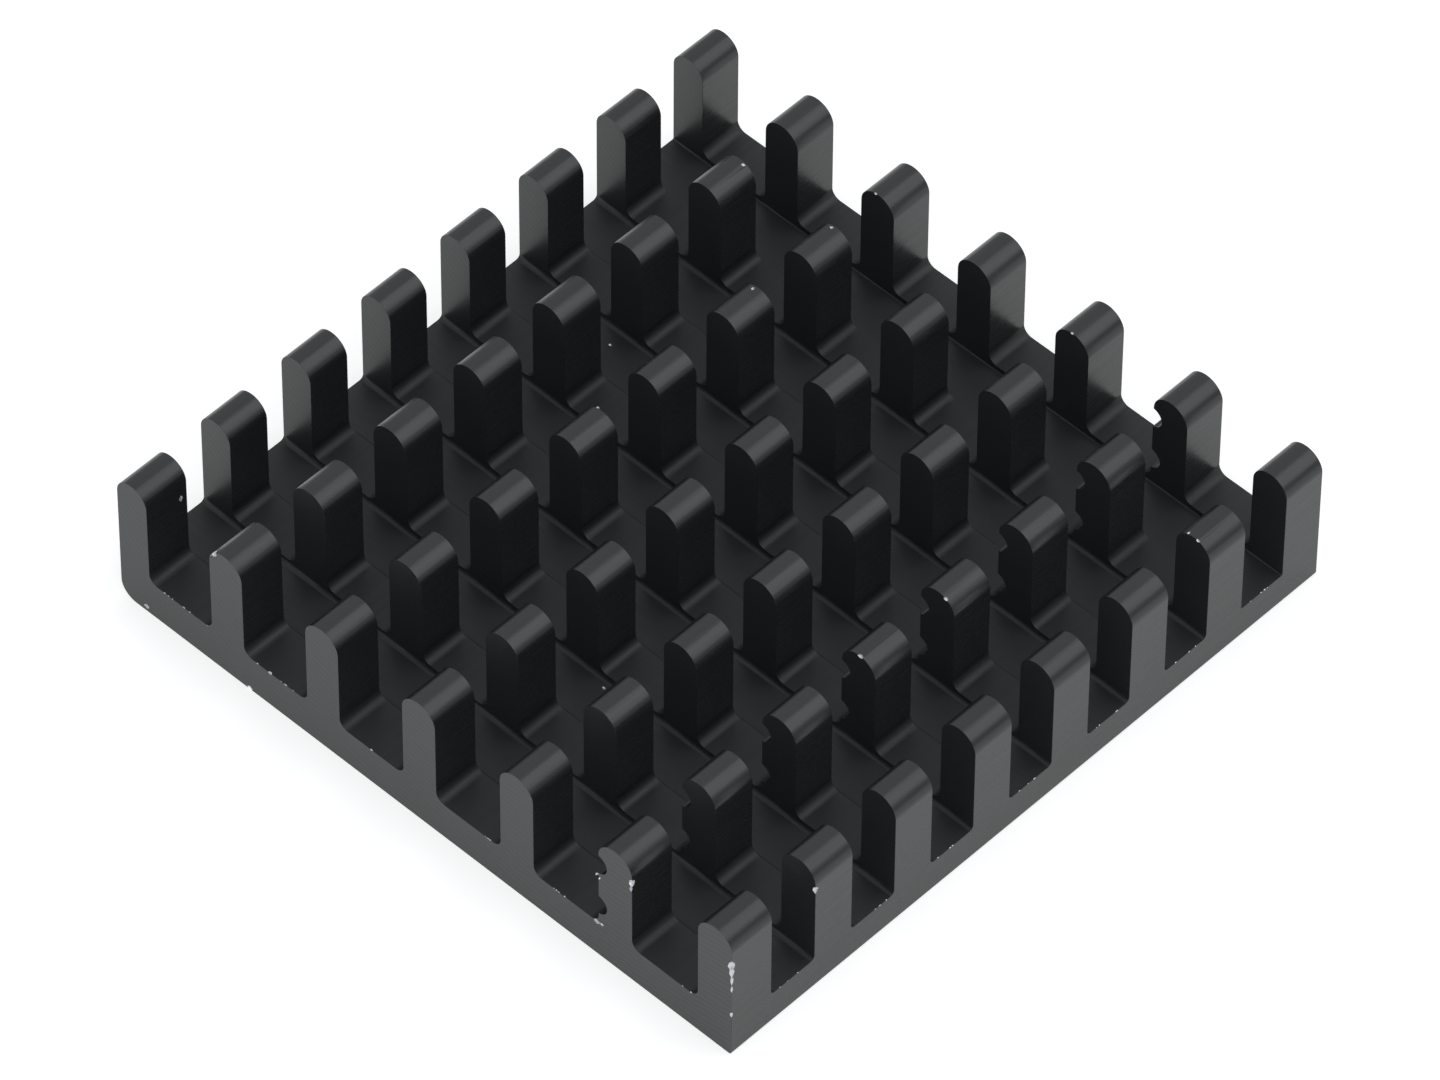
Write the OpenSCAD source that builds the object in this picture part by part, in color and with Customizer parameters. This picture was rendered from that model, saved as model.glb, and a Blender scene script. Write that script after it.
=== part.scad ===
// Square pin fin heat sink: an aluminium extrusion with round-topped fins,
// cross-cut by a gang of saw blades into a grid of pins on one base plate.
// The section lies in X and Z and is extruded along Y; the saw cuts run along X.
// The origin is the middle of the flat underside.

/* [Base plate] */
// Width of the extruded section, across the fins
base_w = 44.8; // [36:0.1:60]
// Length of extrusion that is sawn off, along the fins
base_l = 45; // [36:0.1:60]
// Thickness of the base plate under the channels
base_t = 2.65; // [1.6:0.05:5]
// Radius of the lower edge on the -X side
left_edge_r = 1.1; // [0.2:0.1:2]
// Radius of the lower edge on the +X side
right_edge_r = 0.2; // [0.1:0.1:2]

/* [Fins] */
// Number of fins across the section
fin_count = 7; // [3:1:9]
// Thickness of each fin, which is also the width of its round top
fin_t = 2.4; // [1.2:0.1:3.5]
// Thickness of the end fin on the -X side
end_fin_t = 2.2; // [1.2:0.1:3.5]
// Height of the fins above the floor of the channels
fin_h = 6.85; // [6.4:0.05:20]
// Radius of the fillet between a fin and the floor of a channel
root_r = 0.6; // [0.2:0.1:1]

/* [Saw cuts] */
// Number of cuts across the fins
cut_count = 7; // [2:1:8]
// Width of each cut, a little more than the thickness of the blade
cut_w = 3.25; // [1.5:0.05:4]
// Length of the end pins on the -Y side, up to the first cut
first_pin_l = 2.95; // [1:0.05:4]
// Length of the end pins on the +Y side, after the last cut
last_pin_l = 2.8; // [1:0.05:4]
// Depth of the cuts below the floor of the channels
cut_below_floor = 0.35; // [0.1:0.05:1]
// Radius that the worn corners of the blades leave along the bottom of the cuts
worn_corner_r = 0.3; // [0.2:0.05:0.7]
// The cut made by the one new blade, counted from the -Y end
new_blade_cut = 7; // [1:1:8]
// Radius that the new blade leaves along the bottom of its cut
new_corner_r = 0.1; // [0.05:0.05:0.2]

/* [Clip grooves] */
// The fin that has the grooves in its -X flank, counted from the +X side
groove_fin = 2; // [1:1:3]
// Radius of the two round grooves
groove_r = 0.72; // [0.4:0.02:0.9]
// Depth of the grooves in the flank
groove_d = 0.6; // [0.2:0.05:0.9]
// Height of the lower groove's centre above the floor of the channels
lower_groove_h = 1.5; // [1.2:0.05:2]
// Height of the upper groove's centre above the floor of the channels
upper_groove_h = 4.8; // [4:0.05:5]

/* [Hidden] */

$fn = 96;
// How far a cutting shape runs past the faces that it cuts
run_out = 1;
channel_w = (base_w - end_fin_t - (fin_count - 1) * fin_t) / (fin_count - 1);
cut_pitch = (base_l - first_pin_l - last_pin_l - cut_w) / (cut_count - 1);

// Thickness of fin i, and the place of its -X flank, counted from 0 at the -X side
function fin_thickness(i) = i == 0 ? end_fin_t : fin_t;
function fin_x(i) = i == 0 ? 0 : end_fin_t + channel_w + (i - 1) * (fin_t + channel_w);

// A quarter of a disc, with its centre at the origin and its arc towards +X and +Z
module quarter_disc(r) {
    intersection() {
        circle(r);
        square(r);
    }
}

// The base plate's section, with its two rounded lower edges
module base_section() {
    translate([left_edge_r, 0]) square([base_w - left_edge_r - right_edge_r, base_t]);
    translate([0, left_edge_r]) square([left_edge_r, base_t - left_edge_r]);
    translate([left_edge_r, left_edge_r]) rotate(180) quarter_disc(left_edge_r);
    translate([base_w - right_edge_r, right_edge_r])
        square([right_edge_r, base_t - right_edge_r]);
    translate([base_w - right_edge_r, right_edge_r]) rotate(270) quarter_disc(right_edge_r);
}

// One fin's section on the channel floor, with its full-round top
module fin_section(t) {
    straight_h = fin_h - t / 2;
    square([t, straight_h]);
    translate([t / 2, straight_h]) {
        quarter_disc(t / 2);
        rotate(90) quarter_disc(t / 2);
    }
}

// The fillet in the corner between a flank and the floor, towards +X and +Z
module root_fillet() {
    difference() {
        square(root_r);
        translate([root_r, root_r]) circle(root_r);
    }
}

// One channel's two fillets, from flank to flank
module channel_fillets() {
    root_fillet();
    translate([channel_w, 0]) mirror([1, 0]) root_fillet();
}

// The two round grooves that a spring clip's wire snaps into, on a flank at x = 0
module groove_section() {
    for (h = [lower_groove_h, upper_groove_h])
        translate([groove_d - groove_r, h]) circle(groove_r);
}

// The whole extruded section, standing on z = 0 with its -X side at x = 0
module extrusion_section() {
    base_section();
    translate([0, base_t])
        difference() {
            union() {
                for (i = [0 : fin_count - 1])
                    translate([fin_x(i), 0]) fin_section(fin_thickness(i));
                for (i = [0 : fin_count - 2])
                    translate([fin_x(i) + fin_thickness(i), 0]) channel_fillets();
            }
            translate([fin_x(fin_count - groove_fin), 0]) groove_section();
        }
}

// One saw cut's section, standing on z = 0, with its lower corners rounded by the blade
module cut_section(r) {
    cut_h = fin_h + cut_below_floor + run_out;
    translate([r, 0]) square([cut_w - 2 * r, cut_h]);
    translate([0, r]) square([cut_w, cut_h - r]);
    translate([r, r]) rotate(180) quarter_disc(r);
    translate([cut_w - r, r]) rotate(270) quarter_disc(r);
}

// The saw cuts across the fins, a little deeper than the floor of the channels
module saw_cuts() {
    for (k = [1 : cut_count])
        translate([-run_out, first_pin_l + (k - 1) * cut_pitch, base_t - cut_below_floor])
            rotate([90, 0, 90])
                linear_extrude(base_w + 2 * run_out)
                    cut_section(k == new_blade_cut ? new_corner_r : worn_corner_r);
}

module heat_sink() {
    color([0.17, 0.17, 0.18])
        translate([-base_w / 2, -base_l / 2, 0])
            difference() {
                translate([0, base_l, 0])
                    rotate([90, 0, 0])
                        linear_extrude(base_l) extrusion_section();
                saw_cuts();
            }
}

heat_sink();
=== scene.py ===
"""Studio model of a black anodised pin fin heat sink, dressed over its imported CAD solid."""

import math
import random

import bmesh
import bpy
from mathutils import Matrix, Vector


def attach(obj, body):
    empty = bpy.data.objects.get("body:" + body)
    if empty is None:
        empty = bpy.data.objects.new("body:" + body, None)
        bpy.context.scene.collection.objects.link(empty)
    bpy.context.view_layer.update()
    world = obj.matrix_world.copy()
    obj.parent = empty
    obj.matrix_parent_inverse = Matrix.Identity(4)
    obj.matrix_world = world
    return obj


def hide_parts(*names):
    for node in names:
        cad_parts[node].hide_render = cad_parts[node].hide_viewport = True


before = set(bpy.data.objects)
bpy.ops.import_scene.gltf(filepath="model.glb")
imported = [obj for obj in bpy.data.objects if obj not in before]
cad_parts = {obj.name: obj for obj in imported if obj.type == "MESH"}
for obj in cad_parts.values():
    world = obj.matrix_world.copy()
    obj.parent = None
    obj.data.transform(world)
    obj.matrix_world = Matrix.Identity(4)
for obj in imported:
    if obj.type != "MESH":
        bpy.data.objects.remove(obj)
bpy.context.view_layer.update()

MM = 0.001
SINK = "heat_sink"

# Heights of the floors of the channels and of the cuts, and how near to them still counts
CHANNEL_FLOOR = 2.65 * MM
CUT_FLOOR = 2.3 * MM
FLOOR_SLACK = 0.01 * MM
# The root fillets reach this far above a channel's floor
FILLET_REACH = 0.62 * MM

# Edge break that deburring leaves on every sawn and extruded corner
EDGE_BREAK = 0.06 * MM
# A corner turns by at least this much, and the facets of a curve by less
CORNER = math.radians(35)
# Edges that turn by more than this are shaded as edges
SHARP = math.radians(20)

# The body's material slots, in order; the channel and cut-bottom slots carry painted shade in their
# darker dyes
DRAWN, CHANNEL, SAWN, CUT_BOTTOM = range(4)

# Studio tubes, a trace cooler than plain white
COOL_WHITE = (0.96, 0.985, 1.0)


def linear(colour):
    """An sRGB colour such as "2b2c2e" as linear red, green, blue and alpha."""
    parts = [int(colour[i : i + 2], 16) / 255 for i in (0, 2, 4)]
    return (*[p / 12.92 if p <= 0.04045 else ((p + 0.055) / 1.055) ** 2.4 for p in parts], 1)


def add(tree, kind, values=None, links=None, **settings):
    """A new node, with its settings, its sockets' plain values and its links from other nodes."""
    made = tree.nodes.new(kind)
    for name, value in settings.items():
        setattr(made, name, value)
    for name, value in (values or {}).items():
        made.inputs[name].default_value = value
    for name, source in (links or {}).items():
        tree.links.new(source, made.inputs[name])
    return made


def new_material(name):
    material = bpy.data.materials.new(name)
    material.use_nodes = True
    material.node_tree.nodes.clear()
    return material


def place_object(name, data):
    """An object at the origin that shows the given mesh, lamp or camera."""
    made = bpy.data.objects.new(name, data)
    bpy.context.scene.collection.objects.link(made)
    return made


def black_anodising(tree, grain, depth, smooth, rough, dyes):
    """Dyed anodising over a given surface: the grain shows in the relief and the gloss.

    The gloss runs from smooth to rough with the grain, and the dye between its two colours.
    """
    gloss = add(
        tree,
        "ShaderNodeMapRange",
        {"From Min": 0.3, "From Max": 0.7, "To Min": smooth, "To Max": rough},
        {"Value": grain},
    )
    place = add(tree, "ShaderNodeTexCoord")
    # Etched matt skin that lies under the dye, about 0.1 mm across
    skin = add(
        tree,
        "ShaderNodeTexNoise",
        {"Scale": 1 / (0.1 * MM), "Detail": 2.0},
        {"Vector": place.outputs["Object"]},
    )
    matt = add(
        tree,
        "ShaderNodeBump",
        {"Strength": 0.1, "Distance": 0.006 * MM},
        {"Height": skin.outputs[0]},
    )
    relief = add(
        tree,
        "ShaderNodeBump",
        {"Strength": 0.1, "Distance": depth},
        {"Height": grain, "Normal": matt.outputs["Normal"]},
    )
    # Patches where the dye took a little less, a few millimetres across
    patches = add(
        tree,
        "ShaderNodeTexNoise",
        {"Scale": 1 / (4 * MM), "Detail": 3.0},
        {"Vector": place.outputs["Object"]},
    )
    dye = add(
        tree,
        "ShaderNodeMix",
        {"A": linear(dyes[0]), "B": linear(dyes[1])},
        {"Factor": patches.outputs[0]},
        data_type="RGBA",
    )
    surface = add(
        tree,
        "ShaderNodeBsdfPrincipled",
        {"IOR": 1.55},
        {
            "Base Color": dye.outputs["Result"],
            "Roughness": gloss.outputs["Result"],
            "Normal": relief.outputs["Normal"],
        },
    )
    add(tree, "ShaderNodeOutputMaterial", links={"Surface": surface.outputs["BSDF"]})


def grain_along(tree, across, along, stretch):
    """Noise drawn out in one direction; stretch has a 1 for each axis that it runs across."""
    place = add(tree, "ShaderNodeTexCoord")
    drawn = add(
        tree,
        "ShaderNodeMapping",
        {"Scale": [1 / across if axis else 1 / along for axis in stretch]},
        {"Vector": place.outputs["Object"]},
    )
    return add(
        tree, "ShaderNodeTexNoise", {"Scale": 1.0, "Detail": 3.0}, {"Vector": drawn.outputs[0]}
    ).outputs[0]


def anodised_extrusion():
    """Black anodised extrusion: satin and nearly black, with fine die lines along the fins."""
    material = new_material("black_anodised_extrusion")
    tree = material.node_tree
    # Die lines are about 0.05 mm apart, and are drawn at 0.2 mm to show
    lines = grain_along(tree, 0.2 * MM, 9 * MM, (1, 0, 1))
    dyes = ("191a1b", "202123")
    black_anodising(tree, lines, depth=0.01 * MM, smooth=0.22, rough=0.32, dyes=dyes)
    return material


def channel_anodising_painted_shade():
    """Black anodised floor and fillets of a channel: out of reach of handling, so still matt, and
    dyed darker as painted shade for the recess between the pins.
    """
    material = new_material("black_channel_anodising_painted_shade")
    tree = material.node_tree
    # The same die lines as on the rest of the extrusion
    lines = grain_along(tree, 0.2 * MM, 9 * MM, (1, 0, 1))
    # These dyes are darker than the fins' as painted shade: they darken the channel floors and root
    # fillets where the pins shade them.
    dyes = ("121314", "18191a")
    black_anodising(tree, lines, depth=0.01 * MM, smooth=0.48, rough=0.58, dyes=dyes)
    return material


def anodised_saw_face():
    """Black anodised saw cut: the blade's teeth leave faint arcs across the pins' ends."""
    material = new_material("black_anodised_saw_face")
    tree = material.node_tree
    place = add(tree, "ShaderNodeTexCoord")
    # The arcs are drawn for a blade of about 60 mm radius, with its middle above the fins
    blade = add(
        tree,
        "ShaderNodeMapping",
        {"Location": (-0.012, 0, -0.06)},
        {"Vector": place.outputs["Object"]},
    )
    # Tooth marks are about 0.1 mm apart, and are drawn at 0.4 mm to show
    arcs = add(
        tree,
        "ShaderNodeTexWave",
        {"Scale": 0.314 / (0.4 * MM), "Distortion": 3.0, "Detail": 2.0, "Detail Scale": 1.5},
        {"Vector": blade.outputs[0]},
        wave_type="RINGS",
        rings_direction="Y",
    )
    dyes = ("202122", "28292b")
    black_anodising(
        tree, arcs.outputs["Fac"], depth=0.006 * MM, smooth=0.3, rough=0.38, dyes=dyes
    )
    return material


def saw_floor_anodising_painted_shade():
    """Black anodised bottom of a saw cut: matt, with straight marks along the blade's travel, and
    dyed darker as painted shade for the recess between the pins.
    """
    material = new_material("black_saw_floor_anodising_painted_shade")
    tree = material.node_tree
    # Saw marks are about 0.1 mm apart, and are drawn at 0.22 mm to show
    marks = grain_along(tree, 0.22 * MM, 5 * MM, (0, 1, 1))
    # These dyes are darker than the fins' as painted shade on the cut floors between the pins.
    dyes = ("131415", "191a1b")
    black_anodising(tree, marks, depth=0.012 * MM, smooth=0.48, rough=0.58, dyes=dyes)
    return material


def bare_aluminium():
    """Aluminium where a knock has taken the anodising off: small, bright and scuffed."""
    material = new_material("bare_aluminium")
    tree = material.node_tree
    scuffs = grain_along(tree, 0.06 * MM, 0.1 * MM, (1, 0, 1))
    gloss = add(
        tree,
        "ShaderNodeMapRange",
        {"To Min": 0.35, "To Max": 0.6},
        {"Value": scuffs},
    )
    surface = add(
        tree,
        "ShaderNodeBsdfPrincipled",
        {"Base Color": linear("dcdde0"), "Metallic": 1.0},
        {"Roughness": gloss.outputs["Result"]},
    )
    add(tree, "ShaderNodeOutputMaterial", links={"Surface": surface.outputs["BSDF"]})
    return material


def middle(edge):
    return (edge.verts[0].co + edge.verts[1].co) / 2


def is_in_channel(edge):
    """On the step between a cut's floor and a channel's floor, away from the outer faces."""
    place = middle(edge)
    inside = abs(place.x) < 22 * MM and abs(place.y) < 22 * MM
    return inside and CUT_FLOOR - FLOOR_SLACK < place.z < CHANNEL_FLOOR + 2 * FLOOR_SLACK


def finish_of(face):
    """Which finish a face has, from the way it looks and where it is; the floors and fillets down
    between the pins get the finishes with painted shade.
    """
    place = face.calc_center_median()
    inside = abs(place.x) < 22.3 * MM and abs(place.y) < 22.45 * MM
    looks_up = face.normal.z > 0.05
    if abs(face.normal.y) > 0.6:
        return SAWN
    # Cut floors and channel floors with their fillets take the darker dyes, which are painted shade
    # in the recesses.
    if looks_up and CUT_FLOOR - FLOOR_SLACK < place.z < CHANNEL_FLOOR - FLOOR_SLACK:
        return CUT_BOTTOM
    if looks_up and inside and place.z < CHANNEL_FLOOR + FILLET_REACH:
        return CHANNEL
    return DRAWN


def break_edges(shape, edges, size, steps):
    bmesh.ops.bevel(
        shape,
        geom=edges,
        offset=size,
        segments=steps,
        profile=0.5,
        affect="EDGES",
        clamp_overlap=True,
        material=-1,
    )


# Knocks that show bare metal: place, and size in X, Y and Z, in millimetres
NICKS = (
    ((15.26, -22.5, 7.9), (0.26, 0.26, 0.34)),
    ((15.22, -22.5, 7.45), (0.1, 0.14, 0.22)),
    ((12.78, -22.5, 2.62), (0.26, 0.18, 0.16)),
    ((13.15, -22.5, 2.68), (0.14, 0.12, 0.1)),
    ((12.95, -22.5, 6.4), (0.1, 0.1, 0.16)),
    ((10.6, -20.26, 2.65), (0.1, 0.12, 0.04)),
    ((22.4, -22.5, 7.3), (0.29, 0.29, 0.4)),
    ((22.4, -22.5, 6.75), (0.2, 0.22, 0.36)),
    ((22.4, -22.5, 6.1), (0.12, 0.13, 0.4)),
    ((22.4, -22.5, 5.4), (0.09, 0.1, 0.3)),
    ((22.4, -22.5, 3.3), (0.12, 0.12, 0.22)),
    ((22.4, -16.3, 7.95), (0.22, 0.24, 0.3)),
    ((-15.16, -22.5, 9.12), (0.28, 0.26, 0.22)),
    ((-15.45, -22.5, 8.85), (0.14, 0.12, 0.18)),
    ((-20.2, -20.0, 7.33), (0.1, 0.14, 0.22)),
    ((1.95, -10.83, 2.3), (0.14, 0.11, 0.04)),
    ((14.2, -4.3, 9.48), (0.2, 0.17, 0.12)),
    ((14.68, 1.7, 9.36), (0.18, 0.14, 0.14)),
    ((-20.49, -22.5, 0.38), (0.22, 0.12, 0.18)),
    ((-12.75, -22.5, 0.1), (0.24, 0.14, 0.16)),
    ((-11.18, -22.5, 2.64), (0.16, 0.14, 0.1)),
    ((-14.47, 6.56, 2.3), (0.12, 0.1, 0.04)),
    ((-11.61, 2.69, 2.65), (0.11, 0.1, 0.04)),
    ((-7.38, 16.3, 9.48), (0.13, 0.1, 0.08)),
    ((-13.92, 16.3, 9.44), (0.13, 0.1, 0.08)),
    ((-7.37, 19.7, 9.48), (0.15, 0.12, 0.09)),
    ((-7.42, 10.2, 9.48), (0.12, 0.12, 0.08)),
    ((6.96, 19.7, 9.48), (0.14, 0.12, 0.09)),
    ((21.49, 13.7, 9.45), (0.13, 0.12, 0.08)),
    ((20.75, 13.8, 9.41), (0.1, 0.1, 0.08)),
)


# Middles of the channels in X and of the cuts in Y, and the sizes of the chips at their ends,
# all in millimetres
CHANNEL_MIDDLES = (-17.5, -10.4, -3.3, 3.8, 10.9, 18.0)
CUT_MIDDLES = (-17.9, -11.9, -5.9, 0.1, 6.1, 12.1, 18.1)
CHIP_PAIRS = 26
CHIP_SIZES = (0.04, 0.09)


def knock(body, bare):
    """Takes small dents out of the body's edges; what they uncover is bare metal."""
    chance = random.Random(11)
    places = [(Vector(place), Vector(size)) for place, size in NICKS]
    # Tiny chips along the edges that the saws left at the ends of the channels and cuts
    for _ in range(CHIP_PAIRS):
        x = chance.choice(CHANNEL_MIDDLES) + chance.uniform(-1.7, 1.7)
        size = Vector((1, 0.6, 0.5)) * chance.uniform(*CHIP_SIZES)
        places.append((Vector((x, -22.5, 2.65)), size))
        y = chance.choice(CUT_MIDDLES) + chance.uniform(-1.1, 1.1)
        size = Vector((0.6, 1, 0.5)) * chance.uniform(*CHIP_SIZES)
        places.append((Vector((22.4, y, 2.3)), size))
    shape = bmesh.new()
    for place, size in places:
        made = bmesh.ops.create_icosphere(shape, subdivisions=1, radius=1)["verts"]
        for vert in made:
            jagged = vert.co * chance.uniform(0.75, 1.2)
            vert.co = Vector([j * s + p for j, s, p in zip(jagged, size, place)]) * MM
    bmesh.ops.recalc_face_normals(shape, faces=shape.faces)
    mesh = bpy.data.meshes.new("knocks")
    shape.to_mesh(mesh)
    shape.free()
    mesh.materials.append(bare)
    cutter = place_object("knocks", mesh)
    cut = body.modifiers.new("knocks", "BOOLEAN")
    cut.operation = "DIFFERENCE"
    cut.solver = "EXACT"
    cut.use_self = True
    cut.material_mode = "TRANSFER"
    cut.object = cutter
    done = body.evaluated_get(bpy.context.evaluated_depsgraph_get())
    knocked = bpy.data.meshes.new_from_object(done)
    body.modifiers.clear()
    shape = bmesh.new()
    shape.from_mesh(knocked)
    # The cuts leave a few faces with no area
    bmesh.ops.dissolve_degenerate(shape, edges=shape.edges, dist=0.0002 * MM)
    shape.to_mesh(knocked)
    shape.free()
    body.data = knocked
    knocked.name = "anodised_sink"
    bpy.data.objects.remove(cutter)


def sink_body():
    """A welded copy of the CAD solid, with its outer corners broken as deburring leaves them."""
    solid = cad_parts[SINK]
    shape = bmesh.new()
    shape.from_mesh(solid.data)
    bmesh.ops.remove_doubles(shape, verts=shape.verts, dist=0.0005 * MM)
    bmesh.ops.dissolve_limit(
        shape, angle_limit=math.radians(0.5), verts=shape.verts, edges=shape.edges
    )
    corners = [
        e
        for e in shape.edges
        if e.is_manifold and e.calc_face_angle_signed() > CORNER and not is_in_channel(e)
    ]
    break_edges(shape, corners, EDGE_BREAK, 2)
    for face in shape.faces:
        face.material_index = finish_of(face)
    rough_mesh = bpy.data.meshes.new("before_nicks")
    shape.to_mesh(rough_mesh)
    shape.free()
    bare = bare_aluminium()
    # In the order of the slots: drawn, channel with painted shade, sawn, bottom of a cut with
    # painted shade
    coats = (anodised_extrusion(), channel_anodising_painted_shade(), anodised_saw_face(), saw_floor_anodising_painted_shade())
    for finish in (*coats, bare):
        rough_mesh.materials.append(finish)
    body = place_object("anodised_sink", rough_mesh)
    knock(body, bare)
    mesh = body.data
    mesh.shade_smooth()
    mesh.set_sharp_from_angle(angle=SHARP)
    flat = body.modifiers.new("flat_faces", "WEIGHTED_NORMAL")
    flat.keep_sharp = True
    flat.weight = 100
    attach(body, "root")
    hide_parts(SINK)
    return body


def studio_floor():
    """White paper under the object, 1.2 m square, that keeps the object's shadow."""
    shape = bmesh.new()
    bmesh.ops.create_grid(shape, x_segments=1, y_segments=1, size=0.6)
    mesh = bpy.data.meshes.new("studio_floor")
    shape.to_mesh(mesh)
    shape.free()
    floor = place_object("studio_floor", mesh)
    material = new_material("white_paper_sweep")
    tree = material.node_tree
    paper = add(tree, "ShaderNodeBsdfDiffuse", {"Color": linear("cacaca")})
    path = add(tree, "ShaderNodeLightPath")
    # The paper reads white to the eye, and the metal mirrors a pale table
    to_eye = add(
        tree,
        "ShaderNodeMath",
        {1: 0.6},
        {0: path.outputs["Is Camera Ray"]},
        operation="MULTIPLY",
    )
    to_gloss = add(
        tree,
        "ShaderNodeMath",
        {1: 0.4},
        {0: path.outputs["Is Glossy Ray"], 2: to_eye.outputs[0]},
        operation="MULTIPLY_ADD",
    )
    glow = add(tree, "ShaderNodeEmission", links={"Strength": to_gloss.outputs[0]})
    shown = add(tree, "ShaderNodeAddShader", links={0: paper.outputs[0], 1: glow.outputs[0]})
    add(tree, "ShaderNodeOutputMaterial", links={"Surface": shown.outputs[0]})
    mesh.materials.append(material)


def white_room():
    """A pale room, dimmer towards the horizon, that looks plain white behind the object."""
    world = bpy.data.worlds.new("white_room")
    world.use_nodes = True
    bpy.context.scene.world = world
    tree = world.node_tree
    tree.nodes.clear()
    way = add(tree, "ShaderNodeTexCoord")
    height = add(tree, "ShaderNodeSeparateXYZ", links={0: way.outputs["Generated"]})
    level = add(
        tree,
        "ShaderNodeMapRange",
        {"From Min": 0, "From Max": 0.75, "To Min": 0.45, "To Max": 0.8},
        {"Value": height.outputs["Z"]},
    )
    lit = add(
        tree,
        "ShaderNodeBackground",
        {"Color": (*COOL_WHITE, 1)},
        {"Strength": level.outputs["Result"]},
    )
    seen = add(tree, "ShaderNodeBackground", {"Color": (1, 1, 1, 1), "Strength": 1})
    path = add(tree, "ShaderNodeLightPath")
    mix = add(
        tree,
        "ShaderNodeMixShader",
        links={"Fac": path.outputs["Is Camera Ray"], 1: lit.outputs[0], 2: seen.outputs[0]},
    )
    add(tree, "ShaderNodeOutputWorld", links={"Surface": mix.outputs[0]})


def soft_box(name, place, size, power):
    """A rectangular lamp, in metres and watts, aimed at the object."""
    lamp = bpy.data.lights.new(name, "AREA")
    lamp.shape = "RECTANGLE"
    lamp.size, lamp.size_y = size
    lamp.energy = power
    lamp.color = COOL_WHITE
    box = place_object(name, lamp)
    box.location = place
    box.rotation_euler = (-Vector(place)).to_track_quat("-Z", "Y").to_euler()


def camera():
    """A long lens, about half way up, looking at the corner between the sawn end and the +X side."""
    azimuth, elevation, roll = (math.radians(a) for a in (43.49, 49.78, 0.4))
    target = Vector((-2.05, 2.17, 0)) * MM
    distance = 661
    back = Vector(
        (
            math.sin(azimuth) * math.cos(elevation),
            -math.cos(azimuth) * math.cos(elevation),
            math.sin(elevation),
        )
    )
    data = bpy.data.cameras.new("long_lens")
    data.sensor_width = 36
    data.lens = 309.9
    view = place_object("long_lens", data)
    turn = (-back).to_track_quat("-Z", "Y").to_matrix().to_4x4()
    view.matrix_world = (
        Matrix.Translation(target + back * distance * MM) @ turn @ Matrix.Rotation(roll, 4, "Z")
    )
    bpy.context.scene.camera = view


sink_body()
studio_floor()
white_room()
soft_box("main_box", (0.455, 0.485, 0.745), (0.8, 0.9), 2)
soft_box("front_box", (0.55, -0.53, 0.64), (0.4, 0.4), 1.6)
camera()
bpy.context.scene.view_settings.view_transform = "Standard"
